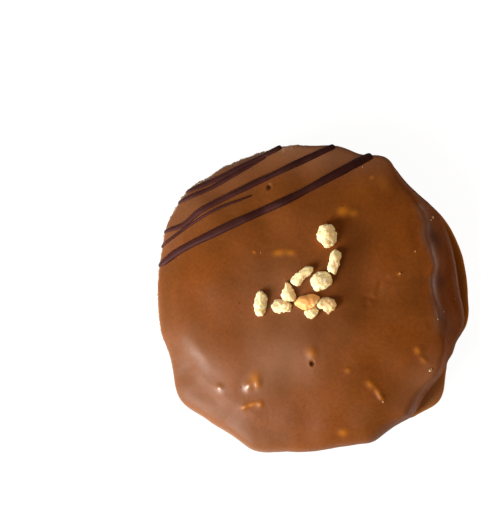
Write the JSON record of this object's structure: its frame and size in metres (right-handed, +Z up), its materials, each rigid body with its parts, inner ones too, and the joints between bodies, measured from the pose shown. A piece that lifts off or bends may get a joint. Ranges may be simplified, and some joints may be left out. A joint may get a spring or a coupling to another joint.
{
  "type": "lebkuchen",
  "caption": "Round gingerbread biscuit coated in milk chocolate, with lines of dark chocolate drizzle over one side and chopped almonds in the middle, lying flat.",
  "frame": {"origin": "middle of the flat underside that it rests on", "axes": "+Z up through the top; the drizzle lies over the side between -X and +Y, and the chocolate foot sticks out furthest towards +X"},
  "size_m": [0.0831, 0.0789, 0.0158],
  "materials": {
    "milk_chocolate": "satin milk chocolate, uneven in tone where it lies thin",
    "dark_chocolate": "satin dark chocolate",
    "chopped_almond": "matte cut almond, cream with toasted patches"
  },
  "bodies": {
    "root": {"lebkuchen": "milk_chocolate"}
  },
  "joints": []
}
